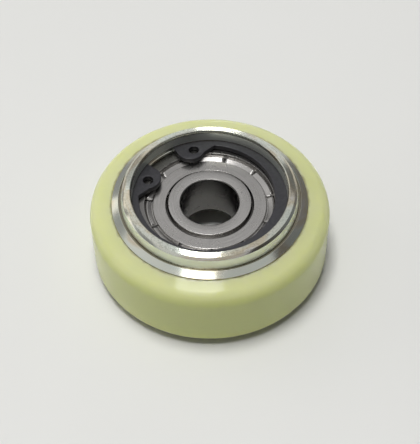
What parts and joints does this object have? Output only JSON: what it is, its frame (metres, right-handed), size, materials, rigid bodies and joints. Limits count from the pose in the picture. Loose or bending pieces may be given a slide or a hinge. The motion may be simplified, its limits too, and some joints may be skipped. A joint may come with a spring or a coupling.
{
  "type": "cam follower roller",
  "caption": "Yoke-type cam follower roller: cast polyurethane tyre on a turned steel hub with a shielded ball bearing held by an internal retaining ring.",
  "frame": {"origin": "centre of the hub's lower rim, on the surface that the roller stands on", "axes": "+Z along the axis of rotation, towards the side with the retaining ring"},
  "size_m": [0.05, 0.05, 0.02],
  "materials": {
    "polyurethane": "satin, slightly translucent",
    "turned_steel": "bright turned",
    "blackened_steel": "phosphated and oiled",
    "bearing_steel": "fine ground",
    "shield_steel": "pressed sheet",
    "cage_steel": "pressed sheet",
    "polished_steel": "polished"
  },
  "bodies": {
    "roller": {"tyre": "polyurethane", "hub": "turned_steel", "circlip": "blackened_steel", "bearing_outer_ring": "bearing_steel", "shield_upper": "shield_steel", "shield_lower": "shield_steel"},
    "inner_ring": {"bearing_inner_ring": "bearing_steel"},
    "cage": {"cage_upper": "cage_steel", "cage_lower": "cage_steel", "cage_rivet_1": "cage_steel", "cage_rivet_2": "cage_steel", "cage_rivet_3": "cage_steel", "cage_rivet_4": "cage_steel", "cage_rivet_5": "cage_steel", "cage_rivet_6": "cage_steel", "cage_rivet_7": "cage_steel"},
    "rolling_ball_1": {"ball_1": "polished_steel"},
    "rolling_ball_2": {"ball_2": "polished_steel"},
    "rolling_ball_3": {"ball_3": "polished_steel"},
    "rolling_ball_4": {"ball_4": "polished_steel"},
    "rolling_ball_5": {"ball_5": "polished_steel"},
    "rolling_ball_6": {"ball_6": "polished_steel"},
    "rolling_ball_7": {"ball_7": "polished_steel"}
  },
  "joints": [
    {"name": "inner_ring_spin", "type": "hinge", "parent": "roller", "child": "inner_ring", "pos_m": [0, 0, 0.0106], "axis": [0, 0, 1], "continuous": true},
    {"name": "cage_spin", "type": "hinge", "parent": "roller", "child": "cage", "pos_m": [0, 0, 0.0106], "axis": [0, 0, 1], "continuous": true},
    {"name": "ball_1_spin", "type": "hinge", "parent": "cage", "child": "rolling_ball_1", "pos_m": [0.011, 0, 0.0106], "axis": [0, 0, 1], "continuous": true},
    {"name": "ball_2_spin", "type": "hinge", "parent": "cage", "child": "rolling_ball_2", "pos_m": [0.00686, 0.0086, 0.0106], "axis": [0, 0, 1], "continuous": true},
    {"name": "ball_3_spin", "type": "hinge", "parent": "cage", "child": "rolling_ball_3", "pos_m": [-0.00245, 0.01072, 0.0106], "axis": [0, 0, 1], "continuous": true},
    {"name": "ball_4_spin", "type": "hinge", "parent": "cage", "child": "rolling_ball_4", "pos_m": [-0.00991, 0.00477, 0.0106], "axis": [0, 0, 1], "continuous": true},
    {"name": "ball_5_spin", "type": "hinge", "parent": "cage", "child": "rolling_ball_5", "pos_m": [-0.00991, -0.00477, 0.0106], "axis": [0, 0, 1], "continuous": true},
    {"name": "ball_6_spin", "type": "hinge", "parent": "cage", "child": "rolling_ball_6", "pos_m": [-0.00245, -0.01072, 0.0106], "axis": [0, 0, 1], "continuous": true},
    {"name": "ball_7_spin", "type": "hinge", "parent": "cage", "child": "rolling_ball_7", "pos_m": [0.00686, -0.0086, 0.0106], "axis": [0, 0, 1], "continuous": true}
  ],
  "couplings": [
    {"joint": "cage_spin", "follows": "inner_ring_spin", "ratio": 0.3647},
    {"joint": "ball_1_spin", "follows": "inner_ring_spin", "ratio": -1.7125},
    {"joint": "ball_2_spin", "follows": "inner_ring_spin", "ratio": -1.7125},
    {"joint": "ball_3_spin", "follows": "inner_ring_spin", "ratio": -1.7125},
    {"joint": "ball_4_spin", "follows": "inner_ring_spin", "ratio": -1.7125},
    {"joint": "ball_5_spin", "follows": "inner_ring_spin", "ratio": -1.7125},
    {"joint": "ball_6_spin", "follows": "inner_ring_spin", "ratio": -1.7125},
    {"joint": "ball_7_spin", "follows": "inner_ring_spin", "ratio": -1.7125}
  ]
}
